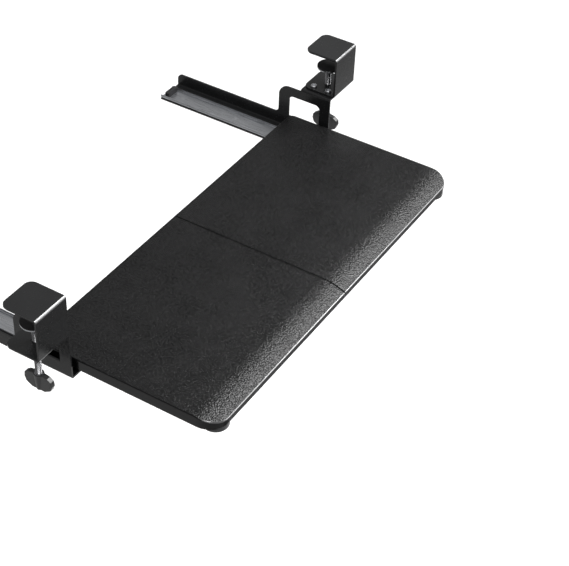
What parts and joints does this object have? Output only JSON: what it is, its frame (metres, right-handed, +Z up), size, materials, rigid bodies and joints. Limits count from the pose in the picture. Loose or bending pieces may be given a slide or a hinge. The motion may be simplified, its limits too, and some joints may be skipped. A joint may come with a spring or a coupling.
{
  "type": "keyboard tray",
  "caption": "Sliding keyboard tray that hangs under a desk from two screw clamps, on ball slides, with a grained board that curves down at its front edge.",
  "frame": {"origin": "on the desk's front top edge, midway between the two clamps: y = 0 at the inner face of the clamps' front walls and z = 0 at the lower face of the top jaws' pads", "axes": "+X along the desk's edge to the right as the user sees it, +Y to the rear under the desk, +Z up"},
  "size_m": [0.816, 0.5305, 0.1571],
  "materials": {
    "black_steel": "smooth satin black powder coat on folded steel",
    "black_rubber": "matt black rubber",
    "zinc_steel": "bright zinc-plated steel fasteners and plates",
    "screw_steel": "shiny plated screw thread and collar",
    "slide_steel": "rolled zinc-plated strip",
    "bright_steel": "polished bearing balls",
    "knob_plastic": "satin black moulded plastic",
    "board_skin": "black vinyl laminate with a fine pebble grain, satin",
    "board_fibre": "bare fibreboard, with a thin black backing sheet on its underside",
    "foot_plastic": "satin black moulded plastic, its ring a little glossier than its body",
    "dowel_wood": "plain beech"
  },
  "bodies": {
    "root": {"clamp_frame_left": "black_steel", "clamp_frame_right": "black_steel", "jaw_pad_left": "black_rubber", "jaw_pad_right": "black_rubber", "clamp_nut_left": "zinc_steel", "clamp_nut_right": "zinc_steel", "hanger_bracket_left": "black_steel", "hanger_bracket_right": "black_steel", "bracket_bolts_left": "zinc_steel", "bracket_bolts_right": "zinc_steel", "bracket_nuts_left": "zinc_steel", "bracket_nuts_right": "zinc_steel", "slide_outer_left": "slide_steel", "slide_outer_right": "slide_steel", "slide_rivets_left": "zinc_steel", "slide_rivets_right": "zinc_steel", "slide_bumper_left": "black_rubber", "slide_bumper_right": "black_rubber"},
    "tray": {"panel_core_left": "board_fibre", "panel_core_right": "board_fibre", "panel_skin_left": "board_skin", "panel_skin_right": "board_skin", "slide_inner_left": "slide_steel", "slide_inner_right": "slide_steel", "slide_screws_left": "zinc_steel", "slide_screws_right": "zinc_steel", "tray_foot_left": "foot_plastic", "tray_foot_right": "foot_plastic", "foot_screw_left": "zinc_steel", "foot_screw_right": "zinc_steel", "panel_dowels": "dowel_wood", "joining_plates": "zinc_steel", "joining_screws": "zinc_steel"},
    "cage_left": {"ball_cage_left": "slide_steel", "slide_balls_left": "bright_steel"},
    "pad_left": {"pad_rubber_left": "black_rubber", "pad_plate_left": "zinc_steel"},
    "screw_left": {"clamp_screw_left": "screw_steel", "knob_left": "knob_plastic", "knob_collar_left": "screw_steel"},
    "cage_right": {"ball_cage_right": "slide_steel", "slide_balls_right": "bright_steel"},
    "pad_right": {"pad_rubber_right": "black_rubber", "pad_plate_right": "zinc_steel"},
    "screw_right": {"clamp_screw_right": "screw_steel", "knob_right": "knob_plastic", "knob_collar_right": "screw_steel"}
  },
  "joints": [
    {"name": "tray_slide", "type": "slide", "parent": "root", "child": "tray", "axis": [0, 1, 0], "range_m": [0, 0.208]},
    {"name": "cage_left_slide", "type": "slide", "parent": "root", "child": "cage_left", "axis": [0, 1, 0], "range_m": [0, 0.104]},
    {"name": "pad_left_rise", "type": "slide", "parent": "root", "child": "pad_left", "axis": [0, 0, 1], "range_m": [-0.015, 0.015]},
    {"name": "screw_left_turn", "type": "hinge", "parent": "pad_left", "child": "screw_left", "pos_m": [-0.377, 0.028, -0.0382], "axis": [0, 0, 1], "range_deg": [-3600, 3600]},
    {"name": "cage_right_slide", "type": "slide", "parent": "root", "child": "cage_right", "axis": [0, 1, 0], "range_m": [0, 0.104]},
    {"name": "pad_right_rise", "type": "slide", "parent": "root", "child": "pad_right", "axis": [0, 0, 1], "range_m": [-0.015, 0.015]},
    {"name": "screw_right_turn", "type": "hinge", "parent": "pad_right", "child": "screw_right", "pos_m": [0.377, 0.028, -0.0382], "axis": [0, 0, 1], "range_deg": [-3600, 3600]}
  ],
  "couplings": [
    {"joint": "cage_left_slide", "follows": "tray_slide", "ratio": 0.5},
    {"joint": "screw_left_turn", "follows": "pad_left_rise", "rad_per_m": 4188.8},
    {"joint": "cage_right_slide", "follows": "tray_slide", "ratio": 0.5},
    {"joint": "screw_right_turn", "follows": "pad_right_rise", "rad_per_m": 4188.8}
  ]
}
